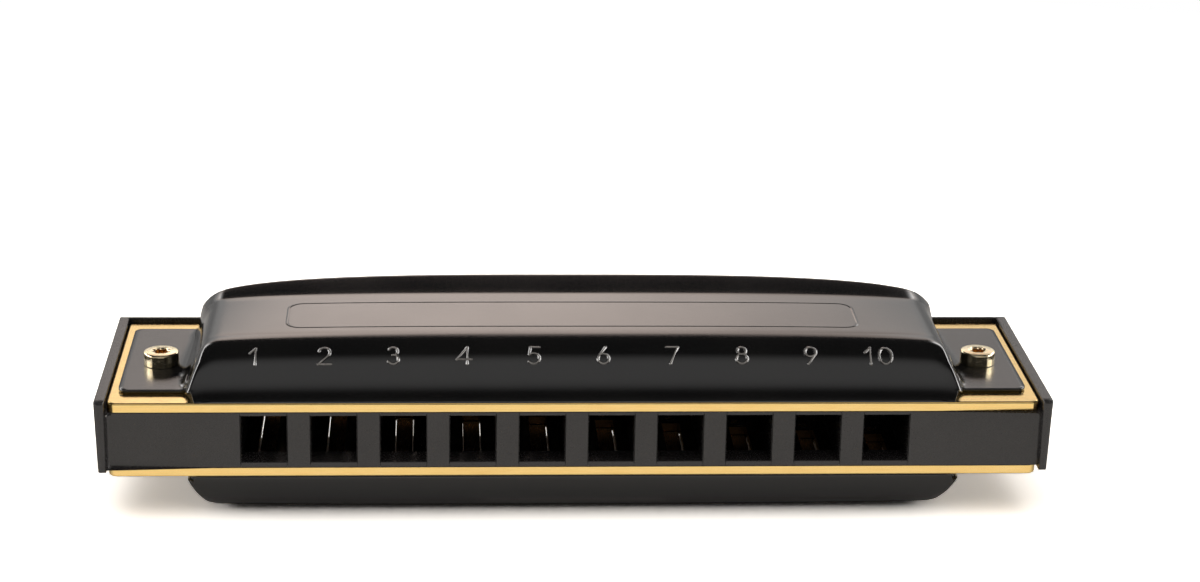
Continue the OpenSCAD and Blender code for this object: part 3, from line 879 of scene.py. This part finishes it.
def rounded_plate(node, name, outer_z, inner_z):
    """The plate's own holes in a new outline, with its outer edge rounded on every side."""
    mesh = NODES[node].data
    low, high = box_mm(node)
    corner, edge_r = 1.0, 0.22
    holes = [loop for loop in face_loops(mesh, inner_z)
             if max(p[0] for p in loop) - min(p[0] for p in loop) < (high.x - low.x) / 2]
    outline = []
    for cx, cy, a0 in ((high.x - corner, high.y - corner, 0), (low.x + corner, high.y - corner, 90),
                       (low.x + corner, low.y + corner, 180), (high.x - corner, low.y + corner, 270)):
        outline += [(cx, cy, math.radians(a0 + 90 * i / 12)) for i in range(13)]
    up = 1 if outer_z > inner_z else -1

    def ring(inset, z):
        return [(cx + (corner - inset) * math.cos(a), cy + (corner - inset) * math.sin(a), z)
                for cx, cy, a in outline]

    rings = [ring(0.04, inner_z), ring(0, inner_z + up * 0.04)]
    for s in np.linspace(0, 1, 7):
        a = s * math.pi / 2
        rings.append(ring(edge_r * (1 - math.cos(a)), outer_z - up * edge_r * (1 - math.sin(a))))
    bm = bmesh.new()
    made = [[bm.verts.new([c * MM for c in p]) for p in r] for r in rings]
    outlines, strips = [(made[0], made[-1])], list(zip(made, made[1:]))
    for loop in holes:
        pair = [[bm.verts.new((x * MM, y * MM, z * MM)) for x, y in loop] for z in (inner_z, outer_z)]
        outlines.append(pair)
        strips.append(pair)
    for a, b in strips:
        for i in range(len(a)):
            j = (i + 1) % len(a)
            bm.faces.new((a[i], a[j], b[j], b[i]))
    for level in (0, 1):
        edges = [bm.edges.get(ends) for o in outlines for ends in zip(o[level], o[level][1:] + o[level][:1])]
        bmesh.ops.triangle_fill(bm, use_beauty=True, edges=edges)
    bmesh.ops.recalc_face_normals(bm, faces=bm.faces)
    built = bpy.data.meshes.new(name)
    bm.to_mesh(built)
    bm.free()
    return weigh_normals(new_object(name, built, BRASS), 35)


place(build_comb(), BODY, "comb")
place(rounded_plate("upper_reed_plate", "plate_upper", PLATE_HI.z, PLATE_LO.z),
      BODY, "upper_reed_plate")
place(rounded_plate("lower_reed_plate", "plate_lower", LOWER_LO.z, LOWER_HI.z),
      BODY, "lower_reed_plate")

for node, name, material, slot in (
        ("blow_reed_pads", "reed_pads_upper", REED, "reed_bronze"),
        ("draw_reed_pads", "reed_pads_lower", REED, "reed_bronze"),
        ("blow_reed_rivets", "rivets_upper", RIVET, "rivet_brass"),
        ("draw_reed_rivets", "rivets_lower", RIVET, "rivet_brass"),
        ("cover_nuts", "nuts", STEEL, "fastener_steel"),
        ("plate_screws", "plate_screw_set", STEEL, "fastener_steel")):
    place(smooth_copy(node, name, material), BODY, node)


# ---------------------------------------------------------------- cover screws

def cover_screw(name, x, y, z_head, z_end):
    """A turned screw with a rounded rim and a six-lobed socket."""
    n = 96
    turns = np.linspace(0, 2 * math.pi, n, endpoint=False)
    head_h, rounding = 1.5, 0.2
    socket = 0.79 + 0.13 * np.cos(6 * turns)
    shaft, root, crest, thread = 1.0, 0.9, 0.98, 0.4

    def rings_at(*steps):
        """Rings of a radius, or of one for each turn, at a height."""
        return [[(x + rr * math.cos(t), y + rr * math.sin(t), z)
                 for rr, t in zip(np.broadcast_to(r, n), turns)] for r, z in steps]

    rings = rings_at((0.7, z_end), (0.86, z_end + 0.14))
    z = z_end + 0.2
    while z < z_head - 0.6:
        rings += rings_at((root, z), (crest, z + 0.1), (crest, z + 0.16), (root, z + 0.26))
        z += thread
    rings += rings_at((shaft, z_head - 0.3), (shaft, z_head + 0.02), (HEAD_R - 0.05, z_head),
                      (HEAD_R, z_head + 0.05), (HEAD_R, z_head + 0.09))
    top = z_head + head_h
    rim = top - rounding
    rings += rings_at((HEAD_R, rim - 0.12), (HEAD_R, rim - 0.05))
    rings += rings_at(*[(HEAD_R - rounding * (1 - math.cos(t)), rim + (rounding - 0.03) * math.sin(t))
                        for t in np.radians([0, 20, 40, 60, 80])])
    rings += rings_at((1.68, top - 0.026), (1.4, top - 0.012), (1.2, top), (1.06, top), (1.03, top))
    rings += rings_at(*[(socket + 0.1 * (1 - s) ** 2, top - 0.03 - 0.12 * s) for s in (0.0, 0.35, 0.7)])
    rings += rings_at((socket, top - 0.2), (socket, top - 0.76), (socket * 0.95, top - 0.8),
                      (0.4, top - 0.84), (0.1, top - 0.92))
    return mesh_object(name, *ring_loft(rings), STEEL)


screw_lo, screw_hi = box_mm("cover_screws")
for side, name in ((-1, "cover_screw_left"), (1, "cover_screw_right")):
    ob = cover_screw(name, side * (screw_hi.x - HEAD_R), (screw_lo.y + screw_hi.y) / 2,
                     UPPER_Z + SHEET, screw_lo.z)
    place(ob, BODY, "cover_screws")


# ---------------------------------------------------------------- reeds

def reed(kind, k):
    """A tongue with rounded edges, thinned along its middle as a filed reed is."""
    node = f"{kind}_reed_{k}"
    low, high = box_mm(node)
    middle, width, length, thick = (low.x + high.x) / 2, high.x - low.x, high.y - low.y, high.z - low.z
    round_r, filed, tip = 0.05, 0.4, 0.012
    rings = []
    for s in np.linspace(0, 1, 25):
        y = low.y + length * s
        along = s if kind == "blow" else 1 - s
        thin = 1 - filed * math.sin(math.pi * min(1, along * 1.1)) ** 2
        bottom = high.z - thick * thin if kind == "blow" else low.z + thick * (1 - thin)
        end = min(1, min(s, 1 - s) / tip)
        half = width / 2 - round_r * (1 - math.sqrt(max(0, 1 - (1 - end) ** 2)))
        r = min(round_r, (high.z - bottom) / 3)
        ring = []
        for qx, z, start in ((1, high.z - r, 0), (-1, high.z - r, 90),
                             (-1, bottom + r, 180), (1, bottom + r, 270)):
            for turn in (0, 30, 60, 90):
                a = math.radians(start + turn)
                ring.append((middle + qx * (half - r) + r * math.cos(a), y, z + r * math.sin(a)))
        rings.append(ring)
    points, faces = ring_loft(rings)
    ob = mesh_object(f"{kind}_tongue_{k}", points, [f[::-1] for f in faces], REED)
    place(ob, f"{kind}_reed_{k}_body", node)


for k in range(1, HOLES + 1):
    reed("blow", k)
    reed("draw", k)


# ---------------------------------------------------------------- floor, light, camera

# The harmonica lies on its lower cover's shoulder and rear edge, so the floor meets both.
shoulder = PROFILE_Y < 12
rest_slope = np.min((COVER_H - PROFILE_V[shoulder]) / (REAR_Y - PROFILE_Y[shoulder]))
FLOOR_SIZE, FLOOR_GAP = 1200, 0.04
corners = [(a * FLOOR_SIZE, b * FLOOR_SIZE) for a, b in ((-1, -1), (1, -1), (1, 1), (-1, 1))]
floor = mesh_object("floor", [(x, y, (REAR_Y + FACE_Y - y) * rest_slope - FLOOR_GAP) for x, y in corners],
                    [(0, 1, 2, 3)])

FLOOR_COLOUR = (0.92, 0.91, 0.90)
# Shiny surfaces see the sheet darker from just in front of the object backwards: a painted shade under and
# behind it, for reflections only.
FLOOR_MIRRORED = (1.08, 1.04, 1.0)     # what the metal shows of it, in front of the object
FLOOR_PAINTED_SHADE = (0.45, 0.44, 0.43)      # and further back
FLOOR_FADE = (-0.021, -0.009)          # where it goes from one to the other, in metres
FLOOR_SEEN = (2.0, 1.95, 1.88)         # a white sheet, as the photograph shows it
PLAIN_WHITE = (0.18, 0.34)             # metres over which the camera sees it turn plain white


def floor_material():
    """A white sheet. Away from the object the camera sees plain white, and nothing from below."""
    mat = bpy.data.materials.new("floor_white")
    mat.use_nodes = True
    g = Graph(mat.node_tree)
    g.tree.nodes.clear()
    rays = g.node("ShaderNodeLightPath").outputs
    coords = g.node("ShaderNodeTexCoord").outputs["Object"]
    # Painted shade: what shiny surfaces mirror darkens under and behind the object.
    mirrored = g.mix(g.range(g.xyz(coords)["Y"], *FLOOR_FADE, 0, 1), FLOOR_MIRRORED, FLOOR_PAINTED_SHADE)
    tone = g.mix(rays["Is Glossy Ray"], FLOOR_COLOUR, mirrored)
    tone = g.mix(rays["Is Camera Ray"], tone, FLOOR_SEEN)
    sheet = g.join("ShaderNodeBsdfDiffuse", tone)
    white = g.node("ShaderNodeEmission", Strength=1.0).outputs[0]
    away = g.range(g.vector("LENGTH", coords)["Value"], *PLAIN_WHITE, 0, 1)
    sheet = g.join("ShaderNodeMixShader", g.multiply(away, rays["Is Camera Ray"]), sheet, white)
    below = g.node("ShaderNodeNewGeometry").outputs["Backfacing"]
    clear = g.node("ShaderNodeBsdfTransparent").outputs[0]
    g.join("ShaderNodeOutputMaterial", g.join("ShaderNodeMixShader", below, sheet, clear))
    return mat


floor.data.materials.append(floor_material())

CARD_COLOUR = (1, 0.83, 0.74)
WORLD_COLOUR = (1.0, 0.985, 0.97)
DIFFUSE_LEVEL = 0.15                   # the world's own light on matt surfaces
DARKEST = 0.02                         # the least that shiny surfaces mirror
SIDE_STEP = 5                          # each of two steps in which the side lights brighten
PATCH_LEVEL = 1.6


def build_world():
    """White to the camera. Shiny surfaces mirror a low pale backdrop and soft lights instead."""
    world = bpy.data.worlds.new("studio")
    bpy.context.scene.world = world
    world.use_nodes = True
    g = Graph(world.node_tree)
    g.tree.nodes.clear()
    coords = g.node("ShaderNodeTexCoord").outputs["Generated"]
    x, y, up = g.xyz(coords)

    def ramp(value, low, high, start=0.0, end=1.0):
        return g.range(value, low, high, start, end, interpolation_type="SMOOTHSTEP")

    def rise(low, high, start=0.0, end=1.0):
        """A ramp between two angles above the horizon."""
        return ramp(up, math.sin(math.radians(low)), math.sin(math.radians(high)), start, end)

    backdrop = g.multiply(rise(11, 17, 0.4, 0.9), rise(20, 23, 1, 0), ramp(y, -0.1, 0.4, 0.12))
    # One wide soft light in front, overhead.
    height_of_lobe = math.radians(57)
    towards = (0.0, -math.cos(height_of_lobe), math.sin(height_of_lobe))
    unit = g.vector("NORMALIZE", g.vector("MULTIPLY", coords, (0.5, 1, 1))[0])[0]
    facing = g.vector("DOT_PRODUCT", unit, towards)["Value"]
    lobe = ramp(facing, math.cos(math.radians(27)), math.cos(math.radians(8)), 0, 0.7)
    # Two long bright lights at the sides draw the thin lines on corners and numbers.
    aside = g.math("DIVIDE", g.away(x), g.math("SQRT", g.add(g.multiply(x, x), g.multiply(y, y))))
    sides = g.add(ramp(aside, 0.25, 0.42, 0, SIDE_STEP), ramp(aside, 0.6, 0.85, 0, SIDE_STEP))
    sides = g.multiply(sides, rise(22, 24), rise(31, 34, 1, 0), ramp(y, -0.3, -0.1))
    rays = g.node("ShaderNodeLightPath").outputs
    shiny = rays["Is Glossy Ray"]
    seen = g.math("MAXIMUM", rays["Is Camera Ray"], rays["Is Transmission Ray"])
    level = g.add(g.multiply(g.add(backdrop, lobe, DARKEST, sides), shiny),
                  g.multiply(DIFFUSE_LEVEL, g.math("SUBTRACT", 1.0, shiny)))
    level = g.add(g.multiply(level, g.math("SUBTRACT", 1.0, seen)), seen)
    # The backdrop is brightest right behind, in a low warm patch.
    patch = g.multiply(rise(19.8, 20.8), rise(25.5, 26.5, 1, 0), ramp(g.away(x), 0.02, 0.2, 1, 0),
                       g.math("GREATER_THAN", y, 0), PATCH_LEVEL, shiny)
    both = g.join("ShaderNodeAddShader", g.join("ShaderNodeBackground", WORLD_COLOUR, level),
                  g.join("ShaderNodeBackground", CARD_COLOUR, patch))
    g.join("ShaderNodeOutputWorld", both)


build_world()


def lamp(name, position, target, size, power, colour, shines=False):
    """A soft light, placed in metres, which shiny surfaces mirror only if it shines."""
    data = bpy.data.lights.new(name, "AREA")
    data.shape = "RECTANGLE"
    data.size, data.size_y = size
    data.energy = power
    data.color = colour
    ob = in_scene(name, data)
    ob.location = position
    ob.rotation_mode = "QUATERNION"
    ob.rotation_quaternion = (Vector(target) - Vector(position)).to_track_quat("-Z", "Y")
    ob.visible_glossy = shines


def power_of(size, level):
    """The power at which a soft light of this size looks as bright as the level."""
    return level * math.pi * size[0] * size[1]


lamp("softbox_top", (-0.2, 0.15, 1.4), (0, 0, 0), (1.6, 1.6), 10.5, (1, 0.99, 0.97))
lamp("softbox_front", (0.05, -0.85, 1.17), (0, 0, 0.01), (1.4, 0.9), 5, (1, 0.98, 0.96))
# A long low card behind, which the satin covers mirror, and a soft box at each side.
CARD_AT, CARD_LOW, CARD_HIGH = 1.5, 20.9, 26.6     # distance, and angles of its edges
low_z, high_z = (CARD_AT * math.tan(math.radians(a)) for a in (CARD_LOW, CARD_HIGH))
middle_z = (low_z + high_z) / 2
card_size = (3.0, high_z - low_z)
lamp("card_back", (0, CARD_AT, middle_z), (0, 0, middle_z), card_size, power_of(card_size, 0.95),
     CARD_COLOUR, shines=True)
SIDE_SIZE, SIDE_AT, SIDE_TURN, SIDE_RISE = (0.9, 0.38), 1.3, math.radians(98), math.radians(20)
for name, turn in (("softbox_left", SIDE_TURN), ("softbox_right", -SIDE_TURN)):
    at = SIDE_AT * Vector((-math.sin(turn) * math.cos(SIDE_RISE), math.cos(turn) * math.cos(SIDE_RISE),
                           math.sin(SIDE_RISE)))
    lamp(name, at, (0, 0, 0), SIDE_SIZE, power_of(SIDE_SIZE, 7.5), (1, 0.96, 0.92), shines=True)


# The camera fitted to the photograph, in millimetres, radians and pixels of its width.
CAMERA_AT = (-15.596, -300.913, 124.051)
YAW, PITCH, ROLL = -0.06169, 0.32249, 0.01982
FOCAL_PIXELS, PHOTO_WIDTH, SENSOR = 2855.36, 1200, 36


def camera():
    data = bpy.data.cameras.new("camera")
    ob = in_scene("camera", data)
    right = Vector((math.cos(YAW), math.sin(YAW), 0))
    ahead = Vector((-math.sin(YAW), math.cos(YAW), 0))
    up = Vector((0, 0, 1))
    look = math.cos(PITCH) * ahead - math.sin(PITCH) * up
    top = math.cos(PITCH) * up + math.sin(PITCH) * ahead
    right, top = (math.cos(ROLL) * right + math.sin(ROLL) * top,
                  math.cos(ROLL) * top - math.sin(ROLL) * right)
    matrix = Matrix((right, top, -look)).transposed().to_4x4()
    matrix.translation = Vector(CAMERA_AT) * MM
    ob.matrix_world = matrix
    data.sensor_width = SENSOR
    data.lens = FOCAL_PIXELS / PHOTO_WIDTH * SENSOR
    data.clip_start, data.clip_end = 0.01, 20
    bpy.context.scene.camera = ob


camera()
bpy.context.scene.view_settings.view_transform = "Standard"
